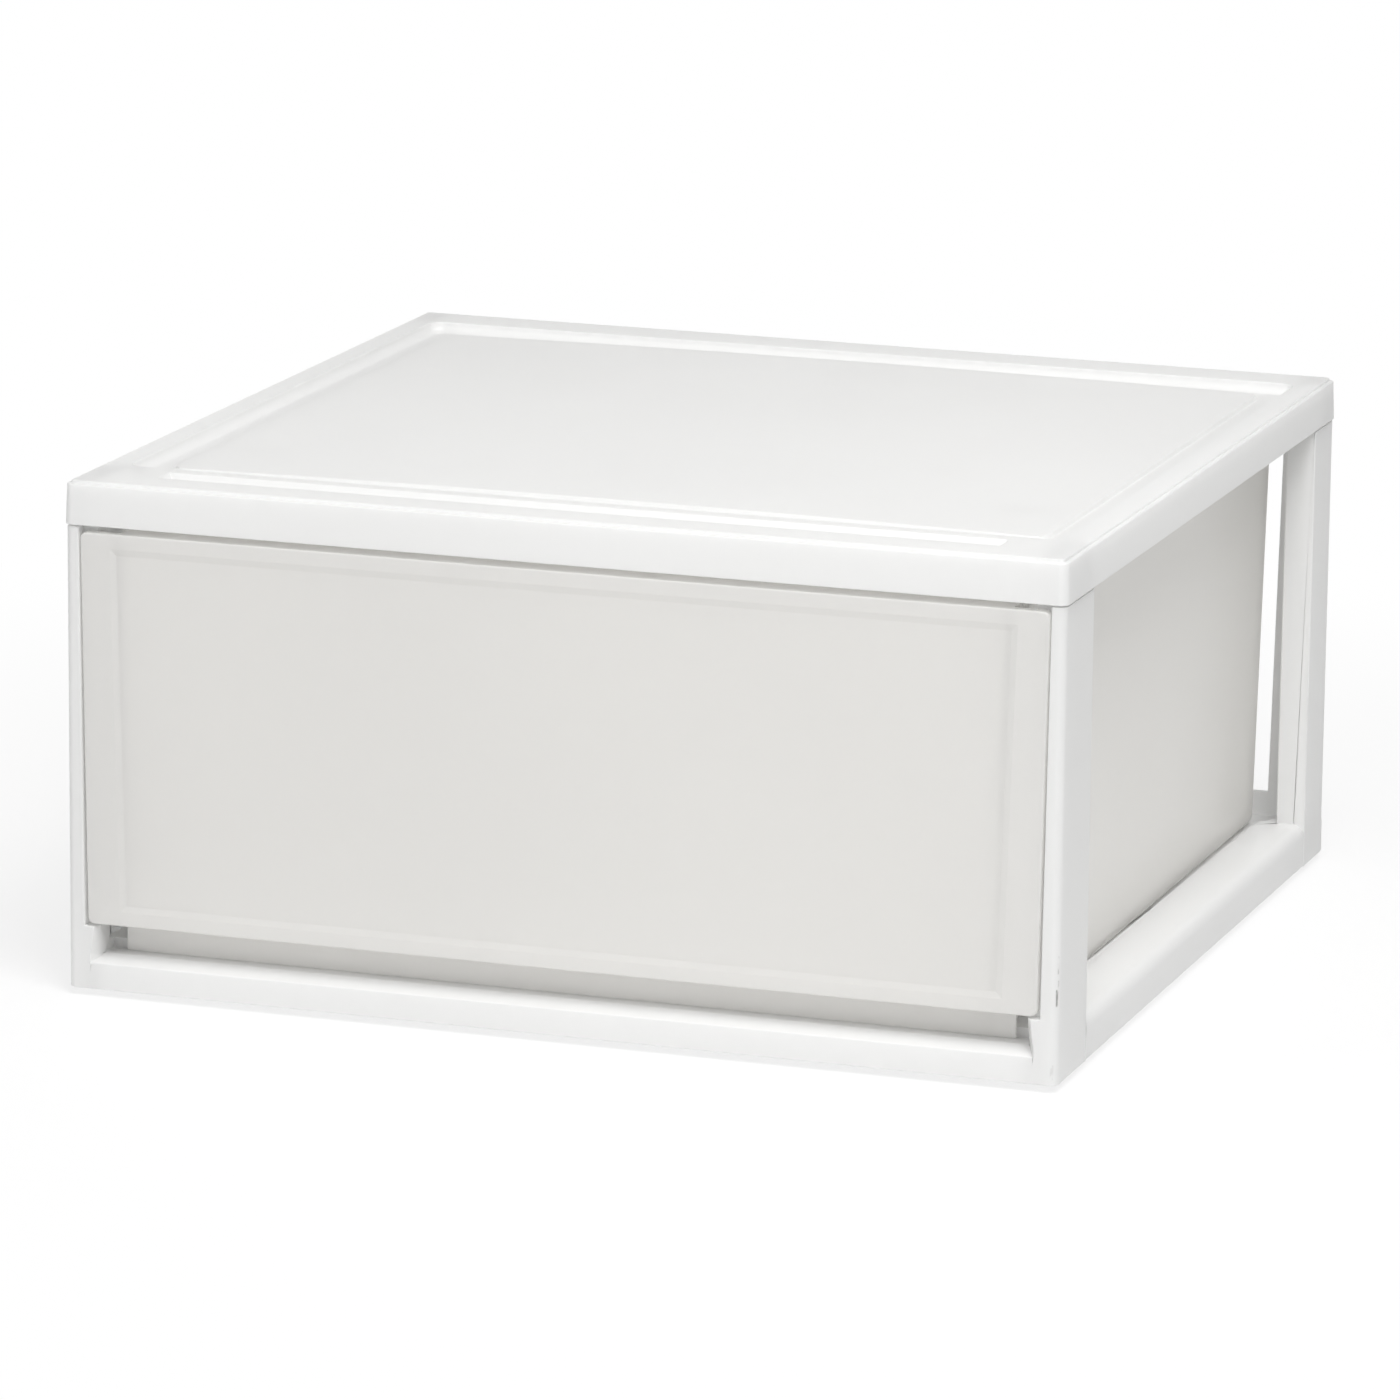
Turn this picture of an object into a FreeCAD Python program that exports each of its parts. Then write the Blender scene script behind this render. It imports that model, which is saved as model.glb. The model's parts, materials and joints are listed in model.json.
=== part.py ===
import FreeCAD, Part
import math
import os
from FreeCAD import Vector

os.makedirs("parts", exist_ok=True)

# Stackable drawer box: a moulded body frame with four corner posts, a lid that sits on the
# posts, and a frosted drawer that slides out toward -Y. Millimetres, +Z up, the origin on the
# floor under the middle of the box.

# Driving sizes
overall_width = 400.0
overall_depth = 388.0
lid_top_height = 203.0
foot_height = 3.0
drawer_travel = 278.0

# Clearances and the one overrun for all cuts
slide_clearance = 0.3
seat_clearance = 0.3
panel_side_gap = 0.7
cut_over = 5.0

# Lid
skirt_height = 17.0
skirt_wall = 2.0
skirt_overhang = 0.6
skirt_flare = 0.5
skirt_corner_radius = 3.5
rim_inset = 1.7
rim_riser = 1.2
lid_edge_radius = 0.5
lid_sheet = 2.2
recess_side_margin = 11.0
recess_front_margin = 35.5
recess_back_margin = 21.0
recess_depth = 4.5
recess_corner_radius = 6.0
recess_floor_fillet = 3.5
plateau_side_margin = 23.8
plateau_front_margin = 50.0
plateau_back_margin = 33.8
plateau_drop = 2.6
plateau_crown = 1.3
plateau_slope = 1.6
plateau_corner_radius = 6.0
slot_end_margin = 31.0
slot_front_margin = 17.5
slot_width = 11.5
slot_depth = 3.2
slot_slope_width = 2.4
socket_rib_thickness = 1.6
guide_rib_width = 3.0
stop_rib_thickness = 2.4
stop_rib_length = 26.0
stop_tab_height = 5.0
stop_rib_clearance = 0.6

# Posts
wall = 2.2
post_face_top = 5.4
post_face_bottom = 6.9
rebate_depth = 4.4
post_reach = 12.2
return_depth = 12.0
front_post_depth = 38.5
back_post_depth = 30.0
post_draft = 1.2
back_flange_top = 20.2
back_flange_bottom = 23.8
post_corner_radius = 3.0
post_edge_radius = 0.8
seam_gap = 0.7
post_cap = 2.2
tongue_reach = 8.6
tongue_wall = 1.6

# Base ring
ledge_height = 25.0
bar_front_height = 10.4
bar_height = 13.3
bar_depth = 24.0
bevel_depth = 6.7
bevel_side = 3.2
ledge_bevel_share = 0.34
bar_edge_radius = 0.7
rail_height = 17.3
rail_setback = 0.3
rail_front_width = 24.0
rail_back_width = 20.2
rail_start = 15.2
rail_edge_radius = 5.0
rail_corner_radius = 13.0
runner_width = 11.5
back_bar_depth = 13.0
back_plate_height = 23.4
foot_width = 8.4
foot_length = 42.0
foot_wall = 2.0
foot_corner_radius = 2.0
foot_clearance = 1.6

# Drawer
panel_thickness = 2.4
panel_bottom = 26.0
drawer_top_gap = 2.7
panel_corner_radius = 2.5
panel_edge_radius = 0.7
panel_return_width = 1.8
field_depth = 0.5
field_slope_width = 2.6
field_side_top = 18.3
field_side_bottom = 21.7
field_bottom = 31.6
field_top_margin = 5.7
pull_side_top = 21.0
pull_side_bottom = 24.4
pull_bottom = 33.0
pull_rib_thickness = 1.6
bead_height = 1.6
bead_depth = 2.2
tray_wall = 2.0
tray_floor = 2.0
tray_side_top = 21.0
tray_side_bottom = 24.5
tray_front = 12.0
tray_back_top = 13.6
tray_back_draft = 1.0
tray_corner_radius = 9.0
tray_bottom_fillet = 4.5
front_plate_margin = 19.7
front_plate_thickness = 1.5
rim_lip = 3.0
rim_thickness = 2.0
floor_bead_height = 0.8
floor_bead_width = 7.0
floor_bead_inset = 30.0

# Places worked out from the sizes above
post_width = overall_width - 2 * skirt_overhang
post_span = overall_depth - 2 * skirt_overhang
half_width = post_width / 2
half_span = post_span / 2
base_z = foot_height
lid_top = lid_top_height
skirt_bottom = lid_top - skirt_height
ledge_z = lid_top - rim_riser
seam_z = skirt_bottom - seam_gap
lid_under = lid_top - lid_sheet
ledge_top = base_z + ledge_height
bar_top = base_z + bar_height
rail_top = base_z + rail_height
tray_bottom = bar_top + slide_clearance
drawer_top = skirt_bottom - drawer_top_gap
field_top = drawer_top - field_top_margin
flat_tolerance = wall / 1000
back_post_front = post_span - back_post_depth


def outline(corners, height):
    """A closed wire through (x, y, radius) corners at a height, rounded where a corner has a radius."""
    points = [(Vector(x, y, height), r) for x, y, r in corners]
    edges = []
    starts = []
    ends = []
    count = len(points)
    for i, (corner, radius) in enumerate(points):
        before = points[i - 1][0] - corner
        after = points[(i + 1) % count][0] - corner
        turn = before.getAngle(after)
        before.normalize()
        after.normalize()
        if radius:
            reach = radius / math.tan(turn / 2)
            middle = before + after
            middle.normalize()
            start = corner + before * reach
            end = corner + after * reach
            crest = corner + middle * (radius / math.sin(turn / 2) - radius)
            edges.append(Part.Arc(start, crest, end).toShape())
        else:
            start = corner
            end = corner
        starts.append(start)
        ends.append(end)
    for i in range(count):
        edges.append(Part.makeLine(ends[i], starts[(i + 1) % count]))
    return Part.Wire(Part.__sortEdges__(edges))


def prism(corners, low, high):
    """A straight solid over an outline."""
    return Part.Face(outline(corners, low)).extrude(Vector(0, 0, high - low))


def flat_face(ring):
    return Part.Face(Part.makePolygon(ring + ring[:1]))


def side_faces(low_a, low_b, high_b, high_a):
    """The flat face between two like edges, or two triangles where they are askew."""
    normal = (low_b - low_a).cross(high_a - low_a)
    normal.normalize()
    if abs(normal.dot(high_b - low_a)) < flat_tolerance:
        return [flat_face([low_a, low_b, high_b, high_a])]
    return [flat_face([low_a, low_b, high_b]), flat_face([low_a, high_b, high_a])]


def turns_left(corners):
    """Whether a polygon runs counter-clockwise seen from above."""
    area = 0
    for i, (x, y, radius) in enumerate(corners):
        area += corners[i - 1][0] * y - x * corners[i - 1][1]
    return area > 0


def drafted(low_corners, low, high_corners, high):
    """A solid between two polygons of like corners, rounded up its edges by the lower corners' radii."""
    if not turns_left(low_corners):
        low_corners = low_corners[::-1]
        high_corners = high_corners[::-1]
    bottoms = [Vector(x, y, low) for x, y, r in low_corners]
    tops = [Vector(x, y, high) for x, y, r in high_corners]
    faces = [flat_face(bottoms[::-1]), flat_face(tops)]
    count = len(bottoms)
    for i in range(count):
        j = (i + 1) % count
        faces += side_faces(bottoms[i], bottoms[j], tops[j], tops[i])
    solid = Part.Solid(Part.makeShell(faces))
    radii = [r for x, y, r in low_corners]
    for radius in sorted(set(radii) - {0}, reverse=True):
        rounded = [i for i in range(count) if radii[i] == radius]
        solid = solid.makeFillet(radius, [edge_between(solid, bottoms[i], tops[i]) for i in rounded])
    return solid


def edge_between(solid, start, end):
    """The edge of a solid that runs from one point to another."""
    for edge in solid.Edges:
        if len(edge.Vertexes) == 2:
            first, last = [v.Point for v in edge.Vertexes]
            along = first.distanceToPoint(start) + last.distanceToPoint(end)
            back = first.distanceToPoint(end) + last.distanceToPoint(start)
            if min(along, back) < flat_tolerance:
                return edge
    raise ValueError("no edge between the two points")


def ring_corners(side, front, back, radius):
    """Corners of a rectangle held by its margins to the posts' outer faces."""
    return [
        (-half_width + side, -half_span + front, radius),
        (half_width - side, -half_span + front, radius),
        (half_width - side, half_span - back, radius),
        (-half_width + side, half_span - back, radius),
    ]


def plan(points):
    """Corners from (margin, way back, radius) points on the right side."""
    return [(half_width - m, y - half_span, r) for m, y, r in points]


def block(x0, x1, y0, y1, z0, z1):
    return Part.makeBox(x1 - x0, y1 - y0, z1 - z0, Vector(x0, y0, z0))


def fused(shapes):
    whole = shapes[0].fuse(shapes[1:]) if len(shapes) > 1 else shapes[0]
    return whole.removeSplitter()


def both_sides(shape):
    return [shape, shape.mirror(Vector(0, 0, 0), Vector(1, 0, 0))]


def flat_edges(shape, height):
    """The edges that lie wholly at one height."""
    found = []
    for edge in shape.Edges:
        box = edge.BoundBox
        level = abs(box.ZMin - height) < flat_tolerance and abs(box.ZMax - height) < flat_tolerance
        if level:
            found.append(edge)
    return found


# Lid

def lid_shell():
    """Skirt, ledge and raised rim, hollow from below."""
    low = ring_corners(-skirt_overhang, -skirt_overhang, -skirt_overhang, skirt_corner_radius)
    inset = skirt_flare - skirt_overhang
    high = ring_corners(inset, inset, inset, skirt_corner_radius)
    skirt = drafted(low, skirt_bottom, high, ledge_z)
    rim_margin = inset + rim_inset
    rim_radius = skirt_corner_radius - rim_inset
    rim = prism(ring_corners(rim_margin, rim_margin, rim_margin, rim_radius), ledge_z, lid_top)
    solid = fused([skirt, rim])
    edges = flat_edges(solid, lid_top)
    outer = [e for e in flat_edges(solid, ledge_z) if outermost(e, inset)]
    solid = solid.makeFillet(lid_edge_radius, edges + outer)
    inner = skirt_wall - skirt_overhang
    radius = skirt_corner_radius - skirt_wall
    hollow = prism(ring_corners(inner, inner, inner, radius), skirt_bottom - cut_over, lid_under)
    return solid.cut(hollow)


def outermost(edge, margin):
    """Whether a level edge lies on the outer line of the ledge and not at the foot of the rim."""
    limit = rim_inset / 2 + margin
    box = edge.BoundBox
    reach_x = max(abs(box.XMin), abs(box.XMax))
    reach_y = max(abs(box.YMin), abs(box.YMax))
    return reach_x > half_width - limit or reach_y > half_span - limit


def recess_cut():
    floor = lid_top - recess_depth
    corners = ring_corners(recess_side_margin, recess_front_margin, recess_back_margin, recess_corner_radius)
    pocket = prism(corners, floor, lid_top + cut_over)
    return pocket.makeFillet(recess_floor_fillet, flat_edges(pocket, floor))


def recess_tub():
    """The sheet round the recess, under the rim."""
    floor = lid_top - recess_depth - lid_sheet
    margins = [m - lid_sheet for m in (recess_side_margin, recess_front_margin, recess_back_margin)]
    tub = prism(ring_corners(*margins, recess_corner_radius + lid_sheet), floor, lid_under)
    return tub.makeFillet(recess_floor_fillet, flat_edges(tub, floor))


def plateau(inset, drop, floor):
    """The raised, slightly arched middle of the recess, from its floor level up."""
    margins = (plateau_side_margin, plateau_front_margin, plateau_back_margin)
    low_margins = [m - plateau_slope + inset for m in margins]
    high_margins = [m + plateau_slope for m in low_margins]
    top = lid_top - drop + plateau_crown
    low = ring_corners(*low_margins, plateau_corner_radius)
    high = ring_corners(*high_margins, plateau_corner_radius)
    body = drafted(low, floor, high, top)
    half_chord = half_width - plateau_side_margin
    arch_radius = (half_chord ** 2 + plateau_crown ** 2) / (2 * plateau_crown)
    arch = Part.makeCylinder(arch_radius, post_span, Vector(0, -half_span, top - arch_radius), Vector(0, 1, 0))
    return body.common(arch)


def slot_corners(inset):
    """The outline of the long slot in the front rim, drawn in by an inset."""
    back = post_span - slot_front_margin - slot_width
    return ring_corners(slot_end_margin + inset, slot_front_margin + inset, back + inset, 0)


def slot_cut():
    """The shallow slot, with sloping walls that run on past the rim."""
    return drafted(
        slot_corners(slot_slope_width), lid_top - slot_depth,
        slot_corners(-slot_slope_width), lid_top + slot_depth)


def slot_tub():
    """The sheet round the slot, under the rim."""
    return prism(slot_corners(-lid_sheet), lid_top - slot_depth - lid_sheet, lid_under)


def guide_ribs():
    """Long ribs over the drawer's side rims, which hold it level when it is out."""
    low = drawer_top + slide_clearance
    high = lid_top - recess_depth - lid_sheet / 2
    middle = (tray_side_top - rim_lip + tray_side_top) / 2
    x0 = half_width - middle - guide_rib_width / 2
    y0 = recess_front_margin - half_span
    y1 = half_span - recess_back_margin
    return both_sides(block(x0, x0 + guide_rib_width, y0, y1, low, high))


def stop_ribs():
    """Cross ribs behind the front rim that catch the drawer's back tabs at full travel."""
    tab_front = post_span - tray_back_top - tray_wall / 2
    y1 = tab_front - drawer_travel - half_span - slide_clearance
    low = drawer_top + stop_rib_clearance
    high = lid_top - plateau_drop - lid_sheet / 2
    outer = half_width - tray_side_top - tray_corner_radius
    rib = block(outer - stop_rib_length, outer, y1 - stop_rib_thickness, y1, low, high)
    return both_sides(rib)


def tongue_sockets():
    """Ribs under the lid that hold the inner sides of the post tongues."""
    inner = tongue_reach + seat_clearance
    deep = skirt_bottom + skirt_wall
    front = block(
        half_width - inner - socket_rib_thickness, half_width - inner,
        tongue_margin() - half_span, recess_front_margin - half_span, deep, lid_under + lid_sheet / 2)
    back = block(
        half_width - inner - socket_rib_thickness, half_width - inner,
        half_span - recess_back_margin + recess_floor_fillet, half_span - tongue_margin(),
        deep, lid_under + lid_sheet / 2)
    return both_sides(front) + both_sides(back)


def top_panel():
    floor = lid_top - recess_depth
    under = floor - lid_sheet
    body = lid_shell().fuse([recess_tub(), slot_tub()])
    body = body.cut([recess_cut(), slot_cut()])
    body = body.fuse(plateau(0.0, plateau_drop, under))
    body = body.cut(plateau(lid_sheet, plateau_drop + lid_sheet, under - cut_over))
    body = body.fuse(guide_ribs() + stop_ribs() + tongue_sockets())
    return body.removeSplitter()


# Body frame

def tongue_margin():
    """Margin of the post tongues' outer faces, inside the skirt."""
    return skirt_wall - skirt_overhang + seat_clearance


def front_post():
    """A drafted channel, open to the drawer, with a rebate for the drawer's front panel."""
    def section(face, depth, grow, radius):
        inner = post_reach - grow
        return plan([
            (grow, grow, radius),
            (face - grow, grow, 0),
            (face - grow, rebate_depth + grow, 0),
            (inner, rebate_depth + grow, 0),
            (inner, depth - grow, 0),
            (grow, depth - grow, 0),
        ])
    low = section(post_face_bottom, front_post_depth, 0.0, post_corner_radius)
    high = section(post_face_top, front_post_depth - post_draft, 0.0, post_corner_radius)
    body = drafted(low, ledge_top, high, seam_z)
    low = section(post_face_bottom, front_post_depth, wall, 0.0)
    high = section(post_face_top, front_post_depth - post_draft, wall, 0.0)
    hollow = drafted(low, ledge_top - cut_over, high, seam_z - post_cap)
    mouth = prism(plan([
        (post_reach - wall - seat_clearance, return_depth, 0),
        (post_reach + cut_over, return_depth, 0),
        (post_reach + cut_over, front_post_depth - post_draft - wall, 0),
        (post_reach - wall - seat_clearance, front_post_depth - post_draft - wall, 0),
    ]), base_z + rail_height, seam_z - post_cap)
    return body, hollow.fuse(mouth)


def foot_block():
    """The post's thicker foot beside the finger gap, with its bevelled inner front edge."""
    top_front = post_reach - bevel_side / 2
    def section(face, bevel, inner):
        return plan([
            (0, 0, post_corner_radius),
            (face, 0, 0),
            (inner, bevel, 0),
            (inner, front_post_depth, 0),
            (0, front_post_depth, 0),
        ])
    low = section(post_reach - bevel_side + rail_setback, bevel_depth, post_reach + rail_setback)
    high = section(top_front, bevel_depth * ledge_bevel_share, post_reach)
    upper = drafted(low, bar_top, high, ledge_top)
    lower = prism(low, base_z, bar_top)
    return upper.fuse(lower)


def foot_block_hollow():
    corners = plan([
        (wall, wall, 0),
        (post_reach - bevel_side - wall, wall, 0),
        (post_reach - wall, bevel_depth + wall, 0),
        (post_reach - wall, front_post_depth - wall, 0),
        (wall, front_post_depth - wall, 0),
    ])
    return prism(corners, base_z - cut_over, ledge_top - wall)


def front_bar():
    """The bar under the finger gap, with its bevelled top."""
    points = [
        (0.0, base_z),
        (bar_depth, base_z),
        (bar_depth, bar_top),
        (bevel_depth, bar_top),
        (0.0, base_z + bar_front_height),
    ]
    reach = half_width - post_reach + bevel_side - rail_setback
    corners = [Vector(-reach, y - half_span, z) for y, z in points]
    face = Part.Face(Part.makePolygon(corners + corners[:1]))
    body = face.extrude(Vector(2 * reach, 0, 0))
    crest = [edge_between(body, start, start + Vector(2 * reach, 0, 0)) for start in corners[3:]]
    return body.makeFillet(bar_edge_radius, crest)


def bar_hollow():
    points = [
        (wall, base_z - cut_over),
        (bar_depth - wall, base_z - cut_over),
        (bar_depth - wall, bar_top - wall),
        (bevel_depth, bar_top - wall),
        (wall, base_z + bar_front_height - wall),
    ]
    reach = half_width - post_reach
    corners = [Vector(-reach, y - half_span, z) for y, z in points]
    return Part.Face(Part.makePolygon(corners + corners[:1])).extrude(Vector(2 * reach, 0, 0))


def rail_plan(grow):
    """The side rail narrows toward the back and turns out to the back post's front plate."""
    corner = rail_corner_radius + grow
    start = rail_start + grow
    return plan([
        (rail_setback + grow, start, 0),
        (rail_front_width - grow, start, 0),
        (rail_back_width - grow, back_post_front - wall - grow, corner),
        (post_reach - grow, back_post_front + rail_corner_radius - grow, 0),
        (post_reach - grow, post_span - rail_setback - grow, 0),
        (rail_setback + grow, post_span - rail_setback - grow, 0),
    ])


def side_rail():
    solid = prism(rail_plan(0.0), base_z, rail_top)
    limit = half_width - rail_setback - flat_tolerance
    outer = [e for e in flat_edges(solid, rail_top) if e.BoundBox.XMin > limit]
    return solid.makeFillet(rail_edge_radius, outer)


def runner():
    """The shelf on the rail's inner side that the drawer slides on, down to the floor of the ring."""
    shelf = prism(plan([
        (rail_back_width - rail_setback, bar_depth - wall, 0),
        (rail_front_width + runner_width, bar_depth - wall, 0),
        (rail_front_width + runner_width, post_span - back_bar_depth + wall, 0),
        (rail_back_width - rail_setback, post_span - back_bar_depth + wall, 0),
    ]), bar_top - wall, bar_top)
    web = prism(plan([
        (rail_front_width + runner_width - wall, bar_depth - wall, 0),
        (rail_front_width + runner_width, bar_depth - wall, 0),
        (rail_front_width + runner_width, post_span - back_bar_depth + wall, 0),
        (rail_front_width + runner_width - wall, post_span - back_bar_depth + wall, 0),
    ]), base_z, bar_top)
    return shelf.fuse(web)


def back_bar():
    """A hollow bar across the back with a plate that stands above it."""
    reach = half_width - post_reach + wall
    y0 = half_span - back_bar_depth
    body = block(-reach, reach, y0, half_span, base_z, bar_top)
    hollow = block(-reach, reach, y0 + wall, half_span - wall, base_z - cut_over, bar_top - wall)
    plate = block(-reach, reach, half_span - wall, half_span, base_z, base_z + back_plate_height)
    return body.cut(hollow).fuse(plate)


def back_post():
    """Outer plate, front plate and back flange, open to the drawer."""
    def section(flange, start):
        return plan([
            (0, start, post_edge_radius),
            (post_reach, start, post_edge_radius),
            (post_reach, start + wall, 0),
            (wall, start + wall, 0),
            (wall, post_span - wall, 0),
            (flange, post_span - wall, 0),
            (flange, post_span, 0),
            (0, post_span, post_corner_radius),
        ])
    low = section(back_flange_bottom, back_post_front)
    high = section(back_flange_top, back_post_front + post_draft)
    return drafted(low, base_z, high, seam_z)


def back_post_cap():
    """The plate that closes the back post under the lid, let into the post's walls."""
    start = back_post_front + post_draft + wall / 2
    return prism(plan([
        (wall / 2, start, 0),
        (post_reach, start, 0),
        (post_reach, post_span - wall / 2, 0),
        (wall / 2, post_span - wall / 2, 0),
    ]), seam_z - post_cap, seam_z)


def post_tongues():
    """The hollow tongues on the post caps that stand in the lid's corners."""
    out = tongue_margin()
    radius = skirt_corner_radius - skirt_wall
    front_end = recess_front_margin - lid_sheet - seat_clearance
    back_start = post_span - recess_back_margin + lid_sheet + seat_clearance
    def front(grow, corner):
        return plan([
            (out + grow, out + grow, corner),
            (post_face_top - grow, out + grow, 0),
            (post_face_top - grow, rebate_depth + grow, 0),
            (tongue_reach - grow, rebate_depth + grow, 0),
            (tongue_reach - grow, front_end - grow, 0),
            (out + grow, front_end - grow, 0),
        ])
    def back(grow, corner):
        return plan([
            (out + grow, back_start + grow, 0),
            (tongue_reach - grow, back_start + grow, 0),
            (tongue_reach - grow, post_span - out - grow, 0),
            (out + grow, post_span - out - grow, corner),
        ])
    tongues = []
    for section in (front, back):
        tongue = prism(section(0.0, radius), seam_z, lid_under)
        tongues.append(tongue.cut(prism(section(tongue_wall, 0), seam_z, lid_under + cut_over)))
    return tongues


def stacking_feet():
    """Pads under the side rails that drop into the ends of the recess of the box below."""
    side = recess_side_margin + foot_clearance
    def section(start, end, grow, radius):
        return plan([
            (side + grow, start + grow, radius),
            (side + foot_width - grow, start + grow, radius),
            (side + foot_width - grow, end - grow, radius),
            (side + grow, end - grow, radius),
        ])
    top = rail_top - wall / 2
    feet = []
    for start in foot_starts():
        middle = start + foot_length / 2
        end = start + foot_length
        foot = prism(section(start, end, 0.0, foot_corner_radius), 0.0, top)
        pockets = [
            prism(section(start, middle + foot_wall / 2, foot_wall, 0), -cut_over, top - wall / 2),
            prism(section(middle - foot_wall / 2, end, foot_wall, 0), -cut_over, top - wall / 2),
        ]
        feet.append(foot.cut(pockets))
    return feet


def foot_starts():
    """How far back the front and the back pads begin."""
    return [
        recess_front_margin + foot_clearance,
        post_span - recess_back_margin - foot_clearance - foot_length,
    ]


def body_frame():
    post, post_hollow = front_post()
    rail = side_rail()
    rail_cavity = prism(rail_plan(wall), base_z - cut_over, rail_top - wall)
    right = [post, foot_block(), rail]
    right = fused(right).cut([post_hollow, foot_block_hollow(), rail_cavity])
    right = right.fuse([runner(), back_post(), back_post_cap()] + post_tongues() + stacking_feet())
    bar = front_bar().cut(bar_hollow())
    whole = fused(both_sides(right) + [bar, back_bar()])
    return whole


# Drawer

def panel_corners(margin_shift, radius, low_side, high_side, low, high):
    """Corners in X and Z of a plate that narrows toward the floor."""
    return [
        (-half_width + low_side + margin_shift, low + margin_shift, radius),
        (half_width - low_side - margin_shift, low + margin_shift, radius),
        (half_width - high_side - margin_shift, high - margin_shift, radius),
        (-half_width + high_side + margin_shift, high - margin_shift, radius),
    ]


def stood_up(solid, back):
    """A solid drawn in X and Y, turned so that its floor faces back at a depth."""
    solid.rotate(Vector(0, 0, 0), Vector(1, 0, 0), 90)
    solid.translate(Vector(0, back - half_span, 0))
    return solid


def upright(corners, front, back):
    """A plate over an outline in X and Z, from one depth to another."""
    return stood_up(prism(corners, 0.0, back - front), back)


def sunken_field(low_side, high_side):
    """The cut for the field, with a shallow slope all round that runs on past the panel's face."""
    deep, proud = [
        panel_corners(shift, 0.0, low_side, high_side, base_z + field_bottom, field_top)
        for shift in (field_slope_width, -field_slope_width)]
    return stood_up(drafted(deep, 0.0, proud, 2 * field_depth), field_depth)


def panel_sides():
    return post_face_bottom + 2 * panel_side_gap, post_face_top + panel_side_gap


def front_panel():
    """The flush front plate with turned-back edges and a shallow sunken field."""
    low_side, high_side = panel_sides()
    low = base_z + panel_bottom
    back = rebate_depth - seat_clearance
    outer = panel_corners(0.0, panel_corner_radius, low_side, high_side, low, drawer_top)
    plate = upright(outer, 0.0, back)
    rim = [e for e in plate.Edges if abs(e.BoundBox.YMin + half_span) < flat_tolerance
           and abs(e.BoundBox.YMax + half_span) < flat_tolerance]
    plate = plate.makeFillet(panel_edge_radius, rim)
    inner = panel_corners(panel_return_width, panel_corner_radius / 2, low_side, high_side, low, drawer_top)
    plate = plate.cut(upright(inner, panel_thickness, back + cut_over))
    return plate.cut(sunken_field(field_side_bottom, field_side_top))


def tray_corners(height, grow, radius):
    """The tray's outline at a height: its sides and back lean out toward the top."""
    share = (height - tray_bottom) / (drawer_top - tray_bottom)
    side = tray_side_bottom + (tray_side_top - tray_side_bottom) * share + grow
    back = tray_back_top + tray_back_draft * (1 - share) + grow
    return ring_corners(side, tray_front + grow, back, radius)


def tray_body(low, high, grow, edge_radius):
    """A drafted block with round corners and a round lower edge."""
    radius = tray_corner_radius - grow
    body = drafted(tray_corners(low, grow, radius), low, tray_corners(high, grow, radius), high)
    return body.makeFillet(edge_radius, flat_edges(body, low))


def tray_rim():
    """The lip turned out round the tray's sides and back."""
    side = half_width - tray_side_top + rim_lip
    front = tray_front + tray_wall / 2 - half_span
    back = half_span - tray_back_top + rim_lip
    radius = tray_corner_radius + rim_lip
    corners = [(-side, front, 0), (side, front, 0), (side, back, radius), (-side, back, radius)]
    return prism(corners, drawer_top - rim_thickness, drawer_top)


def pull_parts():
    """Top web over the pull pocket, its end ribs, the bead inside the lip and the tray's front plate."""
    front = panel_thickness / 2 - half_span
    tray_y = tray_front + tray_wall / 2 - half_span
    foot = base_z + pull_bottom
    rib_low = half_width - pull_side_bottom
    rib_high = half_width - pull_side_top
    web = block(-rib_high, rib_high, front, tray_y, drawer_top - rim_thickness, drawer_top)
    corners = [
        Vector(rib_low - pull_rib_thickness, front, foot),
        Vector(rib_low, front, foot),
        Vector(rib_high, front, drawer_top),
        Vector(rib_high - pull_rib_thickness, front, drawer_top),
    ]
    rib = Part.Face(Part.makePolygon(corners + corners[:1])).extrude(Vector(0, tray_y - front, 0))
    bead = block(-rib_low, rib_low, front, panel_thickness + bead_depth - half_span, foot, foot + bead_height)
    plate = block(
        front_plate_margin - half_width, half_width - front_plate_margin,
        tray_front - half_span, tray_front + front_plate_thickness - half_span, tray_bottom, drawer_top)
    return [web, bead, plate] + both_sides(rib)


def stop_tabs():
    """Tabs on the back rim that meet the lid's stop ribs at full travel."""
    middle = half_span - tray_back_top
    outer = half_width - tray_side_top - tray_corner_radius
    tab = block(
        outer - stop_rib_length, outer, middle - tray_wall / 2, middle + tray_wall / 2,
        drawer_top - rim_thickness / 2, drawer_top + stop_tab_height)
    return both_sides(tab)


def floor_bead():
    """A shallow raised frame that stiffens the tray's floor."""
    low = tray_bottom + tray_floor / 2
    high = tray_bottom + tray_floor + floor_bead_height
    side = tray_side_bottom + floor_bead_inset
    front = tray_front + floor_bead_inset
    back = tray_back_top + floor_bead_inset
    outer = prism(ring_corners(side, front, back, tray_corner_radius), low, high)
    margins = [m + floor_bead_width for m in (side, front, back)]
    return outer.cut(prism(ring_corners(*margins, tray_corner_radius / 2), low, high))


def drawer():
    outer = tray_body(tray_bottom, drawer_top, 0.0, tray_bottom_fillet)
    floor = tray_bottom + tray_floor
    inner = tray_body(floor, drawer_top + cut_over, tray_wall, tray_bottom_fillet - tray_wall)
    body = outer.fuse([tray_rim()] + pull_parts()).cut(inner)
    return fused([body, front_panel(), floor_bead()] + stop_tabs())


PIECES = {
    "top_panel": top_panel,
    "body_frame": body_frame,
    "drawer": drawer,
}

for name, make in PIECES.items():
    shape = make()
    shape.exportStep(f"parts/{name}.step")
    box = shape.BoundBox
    print(name, "solids", len(shape.Solids), "valid", shape.isValid(), "volume", round(shape.Volume),
          "x", round(box.XMin, 2), round(box.XMax, 2), "y", round(box.YMin, 2), round(box.YMax, 2),
          "z", round(box.ZMin, 2), round(box.ZMax, 2), "faces", len(shape.Faces))
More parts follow.
